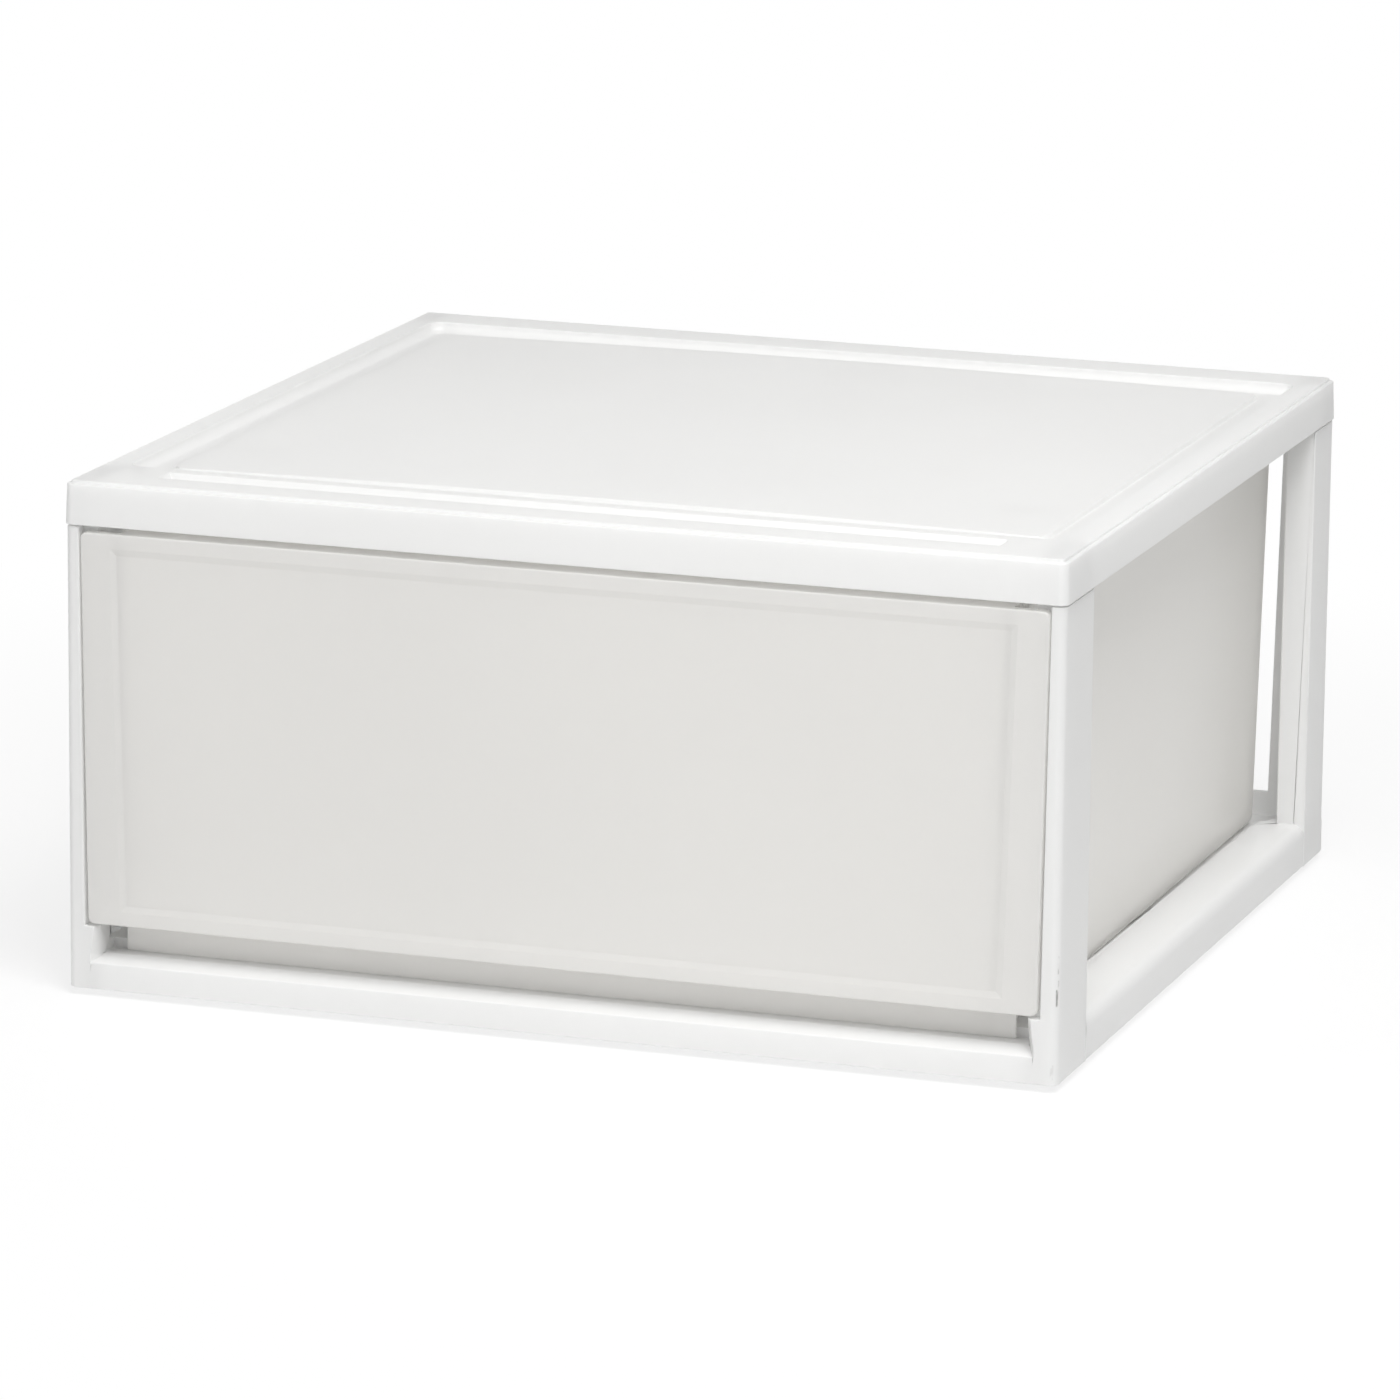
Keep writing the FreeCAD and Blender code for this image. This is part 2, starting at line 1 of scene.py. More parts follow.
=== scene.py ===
import json
import math

import bpy
from bpy.props import FloatProperty, FloatVectorProperty, PointerProperty
from mathutils import Matrix, Vector

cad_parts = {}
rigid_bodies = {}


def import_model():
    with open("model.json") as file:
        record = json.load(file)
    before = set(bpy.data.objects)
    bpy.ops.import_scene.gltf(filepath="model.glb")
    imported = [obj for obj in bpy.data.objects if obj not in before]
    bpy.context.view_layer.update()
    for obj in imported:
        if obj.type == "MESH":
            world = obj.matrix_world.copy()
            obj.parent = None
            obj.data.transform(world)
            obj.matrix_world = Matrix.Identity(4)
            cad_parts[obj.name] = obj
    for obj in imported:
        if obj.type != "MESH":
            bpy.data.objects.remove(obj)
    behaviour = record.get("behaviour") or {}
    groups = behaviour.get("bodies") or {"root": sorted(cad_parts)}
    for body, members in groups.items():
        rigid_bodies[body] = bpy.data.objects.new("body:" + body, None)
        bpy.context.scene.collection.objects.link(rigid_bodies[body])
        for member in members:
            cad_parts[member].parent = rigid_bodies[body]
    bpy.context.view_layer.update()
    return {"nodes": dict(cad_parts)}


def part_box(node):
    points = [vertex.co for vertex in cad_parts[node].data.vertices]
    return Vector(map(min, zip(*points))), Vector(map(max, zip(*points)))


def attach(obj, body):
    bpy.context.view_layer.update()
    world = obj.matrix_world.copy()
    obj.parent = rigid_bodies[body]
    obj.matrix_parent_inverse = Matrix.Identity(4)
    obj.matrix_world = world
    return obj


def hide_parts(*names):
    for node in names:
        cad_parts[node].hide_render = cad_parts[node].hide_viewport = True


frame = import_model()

bl_info = {
    "name": "Stackable Drawer Box",
    "version": (1, 0, 0),
    "blender": (4, 5, 0),
    "location": "3D View > Sidebar > Drawer Box",
    "description": "Dresses the moulded frame, lid and frosted drawer, and sets the studio",
    "category": "Object",
}

# Mesh work: points nearer than the weld distance are one point, and the angles say which faces
# count as one flat face, which edges are rounded, and where the shading breaks.
WELD_DISTANCE = 0.000004
FLAT_ANGLE = math.radians(0.05)
EDGE_ANGLE = math.radians(40.0)
SMOOTH_ANGLE = math.radians(35.0)
CRISP_ANGLE = math.radians(4.0)

# Finish that both plastics share
PLASTIC_IOR = 1.49
PLAIN_SPECULAR = 0.5
GLOSS_DRIFT = 0.06
DUST_AMOUNT = 0.05

# Rubbed marks on the right front post: place round the corner, half width, lowest, highest, strength
RUBBED_MARKS = (
    (0.0049, 0.00025, 0.0460, 0.0530, 0.40),
    (0.0045, 0.00040, 0.0335, 0.0400, 0.80),
    (0.0051, 0.00030, 0.0385, 0.0435, 0.35),
    (0.0030, 0.00045, 0.0055, 0.0110, 0.30),
)

# Soft lamps: name, place, width, height, and the setting that holds the power
SOFTBOXES = (
    ("top softbox", (0.79, -0.98, 2.1), 1.0, 1.4, "top_power"),
    ("front softbox", (-0.3, -2.9, 0.7), 2.4, 1.2, "front_power"),
    ("left softbox", (-2.3, -2.0, 1.0), 1.6, 1.4, "left_power"),
)
LAMP_AIM = (0.0, 0.0, 0.1)


# Settings


class DrawerBoxStage(bpy.types.PropertyGroup):
    camera_place: FloatVectorProperty(
        name="Camera place", description="Where the camera stands", subtype="XYZ_LENGTH",
        default=(1.0181, -3.0008, 0.8284))
    camera_yaw: FloatProperty(
        name="Camera yaw", description="Turn of the camera from straight back, to the left",
        subtype="ANGLE", default=math.radians(18.883))
    camera_pitch: FloatProperty(
        name="Camera pitch", description="Tilt of the camera below level",
        subtype="ANGLE", default=math.radians(13.085))
    camera_roll: FloatProperty(
        name="Camera roll", description="Roll of the camera about its own line of sight",
        subtype="ANGLE", default=math.radians(-0.581))
    camera_lens: FloatProperty(
        name="Lens", description="Focal length in millimetres on a 36 mm wide sensor", default=209.64)
    floor_reach: FloatProperty(
        name="Floor reach", description="Half the side of the floor", unit="LENGTH", default=30.0)
    floor_colour: FloatVectorProperty(
        name="Floor colour", description="Colour of the pale floor", subtype="COLOR",
        default=(0.92, 0.92, 0.92))
    floor_glow: FloatProperty(
        name="Floor glow", description="Share of plain white that the camera sees on the floor by the box",
        subtype="FACTOR", min=0.0, max=1.0, default=0.8)
    floor_fade: FloatProperty(
        name="Floor fade", description="How far from the middle the floor has turned all white",
        unit="LENGTH", default=0.75)
    top_power: FloatProperty(
        name="Top softbox", description="Power of the softbox high over the right front corner",
        unit="POWER", default=54.0)
    front_power: FloatProperty(
        name="Front softbox", description="Power of the softbox in front", unit="POWER", default=2.5)
    left_power: FloatProperty(
        name="Left softbox", description="Power of the softbox by the left front corner", unit="POWER",
        default=20.0)
    sheen_level: FloatProperty(
        name="Sheen level", description="Strength of the room as the glossy skin reflects it", default=0.8)
    world_level: FloatProperty(
        name="Room level", description="Strength of the even room light", default=0.15)


class DrawerBoxWhitePlastic(bpy.types.PropertyGroup):
    edge_radius: FloatProperty(
        name="Edge radius", description="Rounding of the sharp edges of the white mouldings",
        unit="LENGTH", default=0.00035)
    colour: FloatVectorProperty(
        name="Colour", description="Colour of the white mouldings", subtype="COLOR",
        default=(0.95, 0.95, 0.945))
    gloss_roughness: FloatProperty(
        name="Roughness", description="Roughness of the moulded skin", subtype="FACTOR",
        min=0.0, max=1.0, default=0.34)
    light_share: FloatProperty(
        name="Light share", description="Share of the light that passes through each face of the white wall",
        subtype="FACTOR", min=0.0, max=0.9, default=0.34)
    grain_size: FloatProperty(
        name="Grain", description="Number of grains of the mould texture along a metre", default=450.0)
    wave_depth: FloatProperty(
        name="Wave depth", description="Depth of the slight waves of a moulded face", unit="LENGTH",
        default=0.00012)
    scuff_colour: FloatVectorProperty(
        name="Scuff colour", description="Colour of the rubbed marks on a corner", subtype="COLOR",
        default=(0.16, 0.15, 0.14))


class DrawerBoxFrostedPlastic(bpy.types.PropertyGroup):
    edge_radius: FloatProperty(
        name="Edge radius", description="Rounding of the drawer's sharp edges",
        unit="LENGTH", default=0.0003)
    colour: FloatVectorProperty(
        name="Colour", description="Colour of the milky drawer", subtype="COLOR",
        default=(0.970, 0.964, 0.950))
    gloss_roughness: FloatProperty(
        name="Roughness", description="Roughness of the drawer's skin", subtype="FACTOR",
        min=0.0, max=1.0, default=0.2)
    light_share: FloatProperty(
        name="Light share", description="Share of the light that passes through each face of the milky wall",
        subtype="FACTOR", min=0.0, max=0.9, default=0.5)
    grain_size: FloatProperty(
        name="Grain", description="Number of grains of the mould texture along a metre", default=400.0)
    wave_depth: FloatProperty(
        name="Wave depth", description="Depth of the slight waves of a moulded face", unit="LENGTH",
        default=0.0002)
    # Painted shade on the drawer: the front panel's outer face, in front of this depth, is darkened below the
    # tray's colour.
    panel_depth: FloatProperty(
        name="Panel depth", description="Where the front panel's satin outer face ends", unit="LENGTH",
        default=-0.190)
    # Painted shade: the share of the colour that the front panel's outer face keeps.
    panel_shade: FloatProperty(
        name="Panel tone", description="Brightness of the satin panel beside the tray", subtype="FACTOR",
        min=0.0, max=1.0, default=0.958)


# Materials


def node(tree, kind, inputs=None, **settings):
    """Adds a node to a tree, with settings as attributes and inputs by socket name or index."""
    made = tree.nodes.new(kind)
    for key, value in settings.items():
        setattr(made, key, value)
    for key, value in (inputs or {}).items():
        if isinstance(value, bpy.types.NodeSocket):
            tree.links.new(value, made.inputs[key])
        else:
            made.inputs[key].default_value = value
    return made


def group_tree(name, inputs, outputs):
    """A shader node group with named sockets; returns its tree, input node and output node."""
    tree = bpy.data.node_groups.new(name, "ShaderNodeTree")
    for label, kind, value in inputs:
        socket = tree.interface.new_socket(label, in_out="INPUT", socket_type=kind)
        if value is not None:
            socket.default_value = value
    for label, kind in outputs:
        tree.interface.new_socket(label, in_out="OUTPUT", socket_type=kind)
    return tree, tree.nodes.new("NodeGroupInput"), tree.nodes.new("NodeGroupOutput")


FLOAT = "NodeSocketFloat"
COLOUR = "NodeSocketColor"
VECTOR = "NodeSocketVector"


def mould_skin_group():
    """The slight waves and fine grain of a moulded face, with slow drifts in its gloss."""
    if "Mould skin" in bpy.data.node_groups:
        return bpy.data.node_groups["Mould skin"]
    tree, start, end = group_tree(
        "Mould skin",
        [("Place", VECTOR, None), ("Grain", FLOAT, 450.0), ("Grain share", FLOAT, 0.02),
         ("Roughness", FLOAT, 0.3), ("Drift", FLOAT, 0.05)],
        [("Roughness", FLOAT), ("Height", FLOAT)])
    waves = node(tree, "ShaderNodeTexNoise", {"Vector": start.outputs["Place"], "Scale": 11.0, "Detail": 1.0})
    fine = node(tree, "ShaderNodeTexNoise", {
        "Vector": start.outputs["Place"], "Scale": start.outputs["Grain"], "Detail": 0.0})
    height = node(tree, "ShaderNodeMath", {
        0: fine.outputs["Fac"], 1: start.outputs["Grain share"], 2: waves.outputs["Fac"]},
        operation="MULTIPLY_ADD")
    slow = node(tree, "ShaderNodeTexNoise", {"Vector": start.outputs["Place"], "Scale": 9.0, "Detail": 1.0})
    centred = node(tree, "ShaderNodeMath", {0: slow.outputs["Fac"], 1: 0.5}, operation="SUBTRACT")
    drift = node(tree, "ShaderNodeMath", {
        0: centred.outputs[0], 1: start.outputs["Drift"], 2: start.outputs["Roughness"]},
        operation="MULTIPLY_ADD")
    tree.links.new(drift.outputs[0], end.inputs["Roughness"])
    tree.links.new(height.outputs[0], end.inputs["Height"])
    return tree


def settled_dust_group():
    """A little dust that lies on faces that look up, thicker in soft patches."""
    if "Settled dust" in bpy.data.node_groups:
        return bpy.data.node_groups["Settled dust"]
    tree, start, end = group_tree(
        "Settled dust",
        [("Place", VECTOR, None), ("Colour", COLOUR, None),
         ("Dust colour", COLOUR, (0.55, 0.53, 0.5, 1.0)), ("Amount", FLOAT, 0.05)],
        [("Colour", COLOUR)])
    facing = node(tree, "ShaderNodeNewGeometry")
    split = node(tree, "ShaderNodeSeparateXYZ", {0: facing.outputs["Normal"]})
    up = node(tree, "ShaderNodeMapRange", {
        "Value": split.outputs["Z"], "From Min": 0.75, "From Max": 1.0})
    patches = node(tree, "ShaderNodeTexNoise", {
        "Vector": start.outputs["Place"], "Scale": 22.0, "Detail": 3.0, "Roughness": 0.5})
    lying = node(tree, "ShaderNodeMath", {0: patches.outputs["Fac"], 1: up.outputs[0]}, operation="MULTIPLY")
    mask = node(tree, "ShaderNodeMath", {
        0: lying.outputs[0], 1: start.outputs["Amount"]}, operation="MULTIPLY")
    mix = node(tree, "ShaderNodeMix", {
        0: mask.outputs[0], 6: start.outputs["Colour"], 7: start.outputs["Dust colour"]}, data_type="RGBA")
    tree.links.new(mix.outputs[2], end.inputs["Colour"])
    return tree


def material_start(name):
    """An empty material, its tree, its Principled shader and the object coordinates."""
    material = bpy.data.materials.new(name)
    material.use_nodes = True
    tree = material.node_tree
    tree.nodes.clear()
    shader = node(tree, "ShaderNodeBsdfPrincipled")
    output = node(tree, "ShaderNodeOutputMaterial")
    tree.links.new(shader.outputs["BSDF"], output.inputs["Surface"])
    place = node(tree, "ShaderNodeTexCoord").outputs["Object"]
    return material, tree, shader, place


def add_group(tree, group, inputs):
    """Places a shared effect in a material with the material's own values."""
    return node(tree, "ShaderNodeGroup", inputs, node_tree=group)


def let_light_through(tree, shader, colour, share):
    """Mixes in light that passes straight through the moulded wall."""
    through = node(tree, "ShaderNodeBsdfTranslucent", {"Color": colour})
    mix = node(tree, "ShaderNodeMixShader", {0: share, 1: shader.outputs["BSDF"], 2: through.outputs[0]})
    output = next(n for n in tree.nodes if n.type == "OUTPUT_MATERIAL")
    tree.links.new(mix.outputs[0], output.inputs["Surface"])


def colour_drift(tree, place, colour, spread, scale):
    """The colour with a slow drift in its brightness."""
    slow = node(tree, "ShaderNodeTexNoise", {"Vector": place, "Scale": scale, "Detail": 1.0})
    level = node(tree, "ShaderNodeMapRange", {
        "Value": slow.outputs["Fac"], "To Min": 1.0 - 2.0 * spread, "To Max": 1.0 + 2.0 * spread},
        clamp=False)
    shade = node(tree, "ShaderNodeVectorMath", {
        0: tuple(colour), "Scale": level.outputs[0]}, operation="SCALE")
    return shade.outputs[0]


def box_mask(tree, place, low, high, soft):
    """One inside a box and zero outside it, with soft sides."""
    axes = node(tree, "ShaderNodeSeparateXYZ", {0: place})
    mask = None
    for axis, lowest, highest in zip("XYZ", low, high):
        rise = node(tree, "ShaderNodeMapRange", {
            "Value": axes.outputs[axis], "From Min": lowest - soft, "From Max": lowest + soft})
        fall = node(tree, "ShaderNodeMapRange", {
            "Value": axes.outputs[axis], "From Min": highest + soft, "From Max": highest - soft})
        for part in (rise, fall):
            if mask is None:
                mask = part.outputs[0]
            else:
                both = node(tree, "ShaderNodeMath", {0: mask, 1: part.outputs[0]}, operation="MULTIPLY")
                mask = both.outputs[0]
    return mask


def rubbed_marks(tree, place, colour, mark_colour, marks):
    """Dark rubbed marks on an upright corner: place round the corner, half width, heights and strength."""
    turned = node(tree, "ShaderNodeMapping", {"Vector": place, "Rotation": (0.0, 0.0, math.radians(45.0))})
    stretched = node(tree, "ShaderNodeMapping", {"Vector": place, "Scale": (1400.0, 1400.0, 260.0)})
    streaks = node(tree, "ShaderNodeTexNoise", {"Vector": stretched.outputs[0], "Scale": 1.0, "Detail": 2.0})
    cut = node(tree, "ShaderNodeMapRange", {
        "Value": streaks.outputs["Fac"], "From Min": 0.40, "From Max": 0.60})
    for across, half_width, low, high, strength in marks:
        mask = box_mask(tree, turned.outputs[0], (0.2, across - half_width, low),
                        (0.4, across + half_width, high), 0.0003)
        share = node(tree, "ShaderNodeMath", {0: cut.outputs[0], 1: mask}, operation="MULTIPLY")
        amount = node(tree, "ShaderNodeMath", {0: share.outputs[0], 1: strength}, operation="MULTIPLY")
        mix = node(tree, "ShaderNodeMix", {
            0: amount.outputs[0], 6: colour, 7: (*mark_colour, 1.0)}, data_type="RGBA")
        colour = mix.outputs[2]
    return colour


def moulded_skin(tree, place, settings):
    """The shared skin with a plastic's own grain and gloss."""
    return add_group(tree, mould_skin_group(), {
        "Place": place, "Grain": settings.grain_size, "Roughness": settings.gloss_roughness,
        "Drift": GLOSS_DRIFT})


def moulded_finish(tree, shader, settings, skin, colour):
    """Gives a plastic its colour, its gloss, its waves and the light that passes through it."""
    bump = node(tree, "ShaderNodeBump", {
        "Height": skin.outputs["Height"], "Distance": settings.wave_depth, "Strength": 1.0})
    tree.links.new(colour, shader.inputs["Base Color"])
    tree.links.new(skin.outputs["Roughness"], shader.inputs["Roughness"])
    tree.links.new(bump.outputs["Normal"], shader.inputs["Normal"])
    shader.inputs["IOR"].default_value = PLASTIC_IOR
    shader.inputs["Specular IOR Level"].default_value = PLAIN_SPECULAR / (1.0 - settings.light_share)
    let_light_through(tree, shader, colour, settings.light_share)


def white_plastic(name, settings, marks=()):
    """Glossy white polypropylene, with rubbed marks where they are given."""
    material, tree, shader, place = material_start(name)
    skin = moulded_skin(tree, place, settings)
    colour = colour_drift(tree, place, settings.colour, 0.008, 5.0)
    dust = add_group(tree, settled_dust_group(), {"Place": place, "Colour": colour, "Amount": DUST_AMOUNT})
    result = dust.outputs["Colour"]
    if marks:
        result = rubbed_marks(tree, place, result, settings.scuff_colour, marks)
    moulded_finish(tree, shader, settings, skin, result)
    return material


def frosted_plastic(name, settings):
    """Milky polypropylene that carries light through its walls, with painted shade darkening the front
    panel's outer face.
    """
    material, tree, shader, place = material_start(name)
    skin = moulded_skin(tree, place, settings)
    colour = colour_drift(tree, place, settings.colour, 0.01, 5.0)
    # Painted shade: the front panel's outer face, in front of the panel depth, is darkened to the painted
    # shade share of the colour, with a 2 mm soft ramp to the tray.
    axes = node(tree, "ShaderNodeSeparateXYZ", {0: place})
    darkened = node(tree, "ShaderNodeMapRange", {
        "Value": axes.outputs["Y"], "From Min": settings.panel_depth,
        "From Max": settings.panel_depth + 0.002, "To Min": settings.panel_shade, "To Max": 1.0})
    panel_shade_colour = node(tree, "ShaderNodeVectorMath", {0: colour, "Scale": darkened.outputs[0]}, operation="SCALE")
    dust = add_group(tree, settled_dust_group(), {
        "Place": place, "Colour": panel_shade_colour.outputs[0], "Amount": DUST_AMOUNT})
    moulded_finish(tree, shader, settings, skin, dust.outputs["Colour"])
    return material


def wear(obj, material):
    """Gives an object one material on every face."""
    obj.data.materials.clear()
    obj.data.materials.append(material)


# Modelling


def only(obj):
    """Deselects everything, then selects one object and makes it active."""
    bpy.ops.object.select_all(action="DESELECT")
    obj.select_set(True)
    bpy.context.view_layer.objects.active = obj


def apply_modifier(obj, kind, **settings):
    """Adds a modifier to the active object and applies it."""
    modifier = obj.modifiers.new(kind.lower(), kind)
    for key, value in settings.items():
        setattr(modifier, key, value)
    bpy.ops.object.modifier_apply(modifier=modifier.name)


def pick_creases(piece, angle, low, high):
    """Leaves in edge select the creases over an angle whose two ends lie inside a box."""
    bpy.ops.object.mode_set(mode="EDIT")
    bpy.ops.mesh.select_mode(type="EDGE")
    bpy.ops.mesh.select_all(action="DESELECT")
    bpy.ops.mesh.edges_select_sharp(sharpness=angle)
    bpy.ops.object.mode_set(mode="OBJECT")
    points = piece.data.vertices
    for edge in piece.data.edges:
        inside = all(
            least <= value <= most
            for end in edge.vertices
            for value, least, most in zip(points[end].co, low, high))
        edge.select = edge.select and inside
    bpy.ops.object.mode_set(mode="EDIT")


def moulding_from(node_name, name, edge_radius, crisp=None):
    """A merged copy of a solid, its flat faces cut afresh and its sharp edges softly rounded.

    Whole flat faces would be drawn across openings once their edges are rounded, so they are cut
    into triangles first. Creases inside the crisp box, given by its two corners, keep a hard line.
    """
    only(frame["nodes"][node_name])
    bpy.ops.object.duplicate()
    piece = bpy.context.object
    piece.name = name
    piece.data.name = name
    bpy.ops.object.parent_clear(type="CLEAR_KEEP_TRANSFORM")
    bpy.ops.object.mode_set(mode="EDIT")
    bpy.ops.mesh.select_all(action="SELECT")
    bpy.ops.mesh.remove_doubles(threshold=WELD_DISTANCE)
    bpy.ops.mesh.dissolve_limited(angle_limit=FLAT_ANGLE, use_dissolve_boundaries=False)
    bpy.ops.mesh.select_all(action="SELECT")
    bpy.ops.mesh.quads_convert_to_tris(quad_method="BEAUTY", ngon_method="BEAUTY")
    bpy.ops.object.mode_set(mode="OBJECT")
    apply_modifier(piece, "BEVEL", width=edge_radius, segments=2, limit_method="ANGLE",
                   angle_limit=EDGE_ANGLE, use_clamp_overlap=False, miter_outer="MITER_ARC")
    bpy.ops.object.shade_smooth_by_angle(angle=SMOOTH_ANGLE)
    if crisp:
        pick_creases(piece, CRISP_ANGLE, *crisp)
        bpy.ops.mesh.mark_sharp()
        bpy.ops.object.mode_set(mode="OBJECT")
    apply_modifier(piece, "WEIGHTED_NORMAL", keep_sharp=True, weight=80)
    return piece


# Operators


class DRAWERBOX_OT_body_frame(bpy.types.Operator):
    """Finishes the white moulded frame with its corner posts"""
    bl_idname = "drawerbox.body_frame"
    bl_label = "Body Frame"

    def execute(self, context):
        settings = context.scene.drawer_box_white
        piece = moulding_from("body_frame", "body_moulding", settings.edge_radius)
        wear(piece, white_plastic("frame white", settings, RUBBED_MARKS))
        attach(piece, "frame")
        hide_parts("body_frame")
        return {"FINISHED"}


class DRAWERBOX_OT_top_panel(bpy.types.Operator):
    """Finishes the white moulded lid"""
    bl_idname = "drawerbox.top_panel"
    bl_label = "Top Panel"

    def execute(self, context):
        settings = context.scene.drawer_box_white
        piece = moulding_from("top_panel", "lid_moulding", settings.edge_radius)
        wear(piece, white_plastic("lid white", settings))
        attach(piece, "frame")
        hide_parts("top_panel")
        return {"FINISHED"}


class DRAWERBOX_OT_drawer(bpy.types.Operator):
    """Finishes the frosted drawer"""
    bl_idname = "drawerbox.drawer"
    bl_label = "Drawer"

    def execute(self, context):
        settings = context.scene.drawer_box_frosted
        low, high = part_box("drawer")
        field = (
            (low.x + 0.010, low.y - 0.0001, low.z + 0.005),
            (high.x - 0.010, low.y + 0.0007, high.z - 0.0075))
        piece = moulding_from("drawer", "drawer_moulding", settings.edge_radius, crisp=field)
        wear(piece, frosted_plastic("drawer frosted", settings))
        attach(piece, "drawer")
        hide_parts("drawer")
        return {"FINISHED"}


class DRAWERBOX_OT_stage(bpy.types.Operator):
    """Sets the floor, the lamps, the room light and the camera"""
    bl_idname = "drawerbox.stage"
    bl_label = "Stage"

    def execute(self, context):
        settings = context.scene.drawer_box_stage
        stage_floor(settings)
        for name, place, width, height, power in SOFTBOXES:
            softbox(name, place, width, height, getattr(settings, power))
        room_light(settings)
        stage_camera(settings)
        view = context.scene.view_settings
        view.view_transform = "Standard"
        return {"FINISHED"}


def stage_floor(settings):
    """A matt pale floor that keeps the shadow and turns to plain white away from the box."""
    bpy.ops.mesh.primitive_plane_add(size=2 * settings.floor_reach, location=(0, 0, 0))
    floor = bpy.context.object
    floor.name = "floor"
    material = bpy.data.materials.new("pale floor")
    material.use_nodes = True
    tree = material.node_tree
    tree.nodes.clear()
    matt = node(tree, "ShaderNodeBsdfDiffuse", {"Color": (*settings.floor_colour, 1.0)})
    glow = node(tree, "ShaderNodeEmission", {"Color": (1.0, 1.0, 1.0, 1.0), "Strength": 1.0})
    path = node(tree, "ShaderNodeLightPath")
    seen = node(tree, "ShaderNodeMath", {
        0: path.outputs["Is Camera Ray"], 1: path.outputs["Is Transmission Ray"]}, operation="MAXIMUM")
    place = node(tree, "ShaderNodeTexCoord").outputs["Object"]
    distance = node(tree, "ShaderNodeVectorMath", {0: place}, operation="LENGTH")
    fade = node(tree, "ShaderNodeMapRange", {
        "Value": distance.outputs["Value"], "From Min": 0.25, "From Max": settings.floor_fade,
        "To Min": settings.floor_glow, "To Max": 1.0}, interpolation_type="SMOOTHSTEP")
    share = node(tree, "ShaderNodeMath", {0: seen.outputs[0], 1: fade.outputs[0]}, operation="MULTIPLY")
    both = node(tree, "ShaderNodeMath", {
        0: share.outputs[0], 1: path.outputs["Is Glossy Ray"]}, operation="MAXIMUM")
    mix = node(tree, "ShaderNodeMixShader", {0: both.outputs[0], 1: matt.outputs[0], 2: glow.outputs[0]})
    output = node(tree, "ShaderNodeOutputMaterial")
    tree.links.new(mix.outputs[0], output.inputs["Surface"])
    floor.data.materials.append(material)


def softbox(name, place, width, height, power):
    """A soft lamp that faces the box."""
    light = bpy.data.lights.new(name, "AREA")
    light.shape = "RECTANGLE"
    light.size = width
    light.size_y = height
    light.energy = power
    lamp = bpy.data.objects.new(name, light)
    bpy.context.scene.collection.objects.link(lamp)
    lamp.location = place
    lamp.rotation_euler = (Vector(LAMP_AIM) - Vector(place)).to_track_quat("-Z", "Y").to_euler()


def room_light(settings):
    """Plain white where it is seen, a room level on the object and a sheen level in its gloss."""
    world = bpy.data.worlds.new("room")
    bpy.context.scene.world = world
    world.use_nodes = True
    tree = world.node_tree
    tree.nodes.clear()
    lit, sheen, seen = (
        node(tree, "ShaderNodeBackground", {"Color": (1.0, 1.0, 1.0, 1.0), "Strength": strength})
        for strength in (settings.world_level, settings.sheen_level, 1.0))
    path = node(tree, "ShaderNodeLightPath")
    straight = node(tree, "ShaderNodeMath", {
        0: path.outputs["Is Camera Ray"], 1: path.outputs["Is Transmission Ray"]}, operation="MAXIMUM")
    room = node(tree, "ShaderNodeMixShader", {
        0: path.outputs["Is Glossy Ray"], 1: lit.outputs[0], 2: sheen.outputs[0]})
    mix = node(tree, "ShaderNodeMixShader", {0: straight.outputs[0], 1: room.outputs[0], 2: seen.outputs[0]})
    output = node(tree, "ShaderNodeOutputWorld")
    tree.links.new(mix.outputs[0], output.inputs["Surface"])


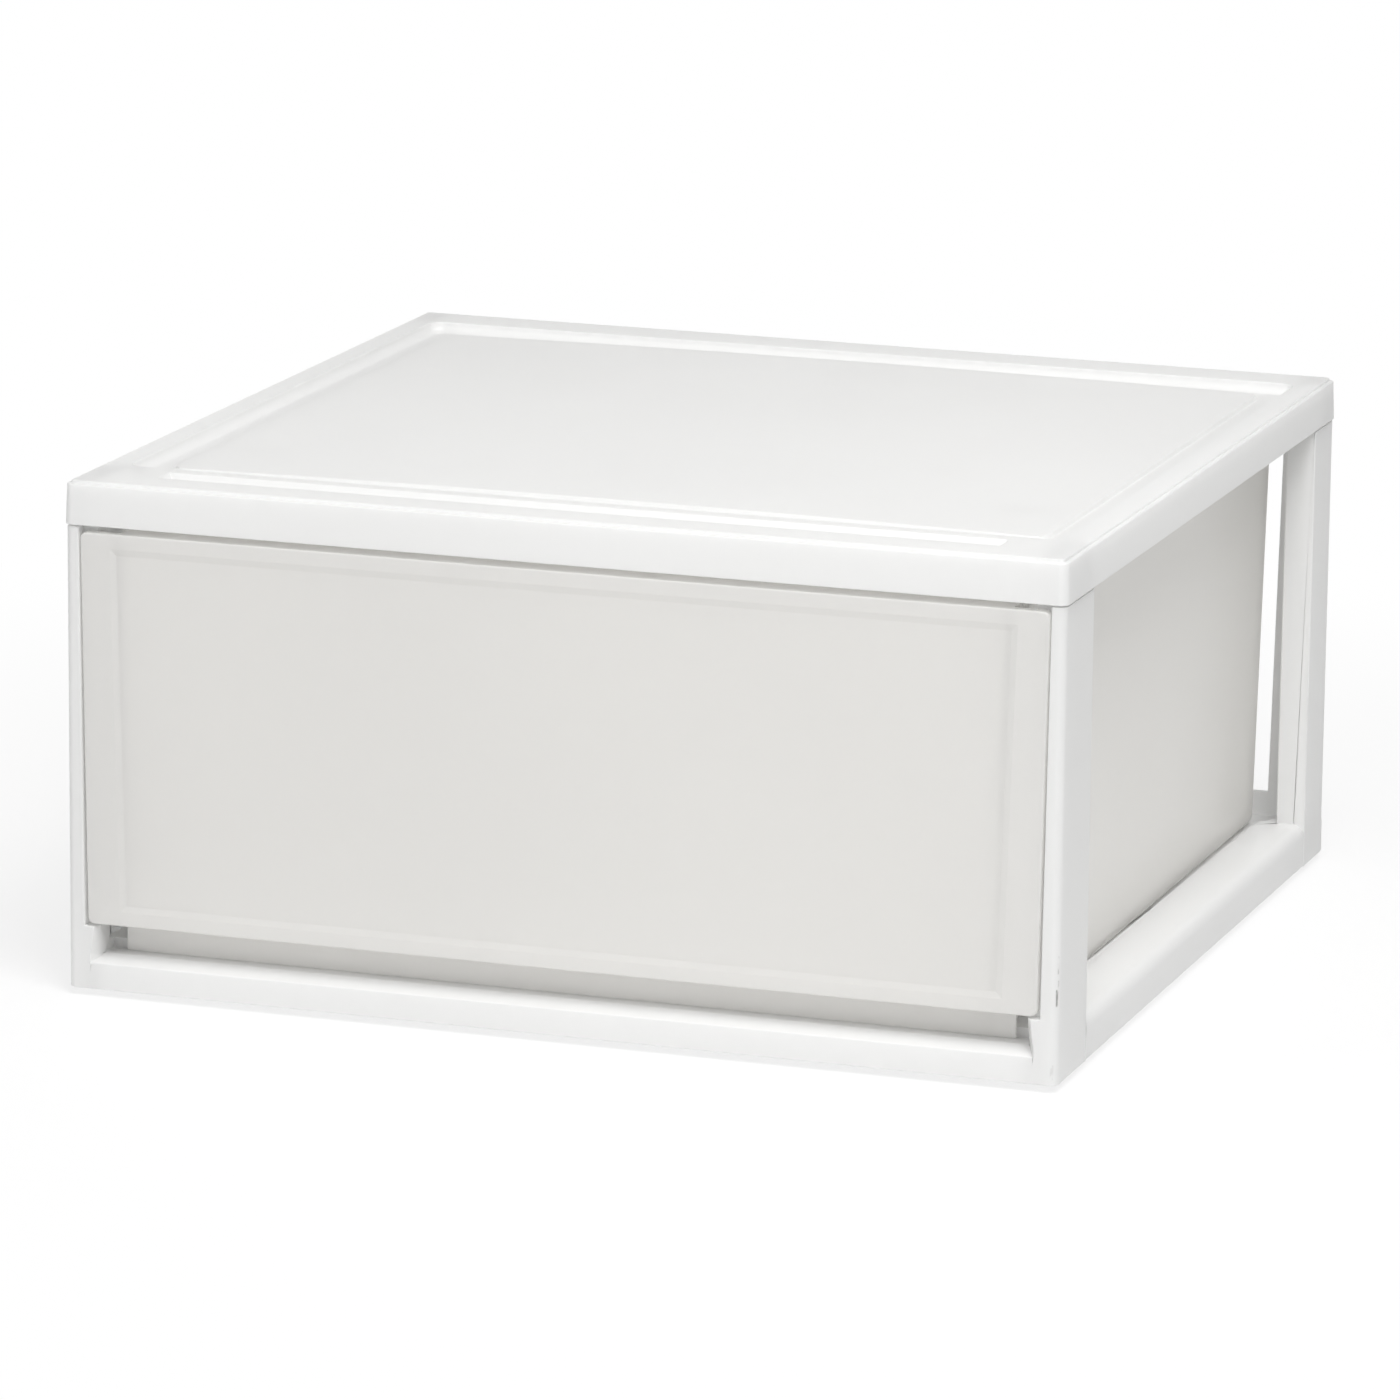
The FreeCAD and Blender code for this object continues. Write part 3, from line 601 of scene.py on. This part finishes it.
def stage_camera(settings):
    """The camera at its place, turned by yaw and pitch and then rolled about its line of sight."""
    data = bpy.data.cameras.new("camera")
    data.sensor_width = 36.0
    data.lens = settings.camera_lens
    data.clip_end = 200.0
    camera = bpy.data.objects.new("camera", data)
    bpy.context.scene.collection.objects.link(camera)
    yaw, pitch, roll = -settings.camera_yaw, settings.camera_pitch, settings.camera_roll
    ahead = Vector((math.sin(yaw) * math.cos(pitch), math.cos(yaw) * math.cos(pitch), -math.sin(pitch)))
    level = Vector((math.cos(yaw), -math.sin(yaw), 0.0))
    down = ahead.cross(level)
    right = math.cos(roll) * level + math.sin(roll) * down
    below = -math.sin(roll) * level + math.cos(roll) * down
    turn = Matrix((right, -below, -ahead)).transposed()
    camera.matrix_world = Matrix.Translation(settings.camera_place) @ turn.to_4x4()
    bpy.context.scene.camera = camera


# Panel and registration


class DRAWERBOX_PT_sidebar(bpy.types.Panel):
    bl_label = "Drawer Box"
    bl_idname = "DRAWERBOX_PT_sidebar"
    bl_space_type = "VIEW_3D"
    bl_region_type = "UI"
    bl_category = "Drawer Box"

    def draw(self, context):
        layout = self.layout
        for title, settings, operators in SECTIONS:
            layout.label(text=title)
            group = getattr(context.scene, settings)
            for key in group.__annotations__:
                layout.prop(group, key)
            for operator in operators:
                layout.operator(operator)


SECTIONS = (
    ("White mouldings", "drawer_box_white", ("drawerbox.body_frame", "drawerbox.top_panel")),
    ("Frosted drawer", "drawer_box_frosted", ("drawerbox.drawer",)),
    ("Stage", "drawer_box_stage", ("drawerbox.stage",)),
)

SETTINGS = (
    ("drawer_box_white", DrawerBoxWhitePlastic),
    ("drawer_box_frosted", DrawerBoxFrostedPlastic),
    ("drawer_box_stage", DrawerBoxStage),
)

CLASSES = (
    DrawerBoxStage,
    DrawerBoxWhitePlastic,
    DrawerBoxFrostedPlastic,
    DRAWERBOX_OT_body_frame,
    DRAWERBOX_OT_top_panel,
    DRAWERBOX_OT_drawer,
    DRAWERBOX_OT_stage,
    DRAWERBOX_PT_sidebar,
)


def register():
    for cls in CLASSES:
        bpy.utils.register_class(cls)
    for name, group in SETTINGS:
        setattr(bpy.types.Scene, name, PointerProperty(type=group))


def unregister():
    for name, group in SETTINGS:
        delattr(bpy.types.Scene, name)
    for cls in reversed(CLASSES):
        bpy.utils.unregister_class(cls)


def main():
    register()
    for title, settings, operators in SECTIONS:
        for operator in operators:
            group, action = operator.split(".")
            getattr(getattr(bpy.ops, group), action)()


if __name__ == "__main__":
    main()
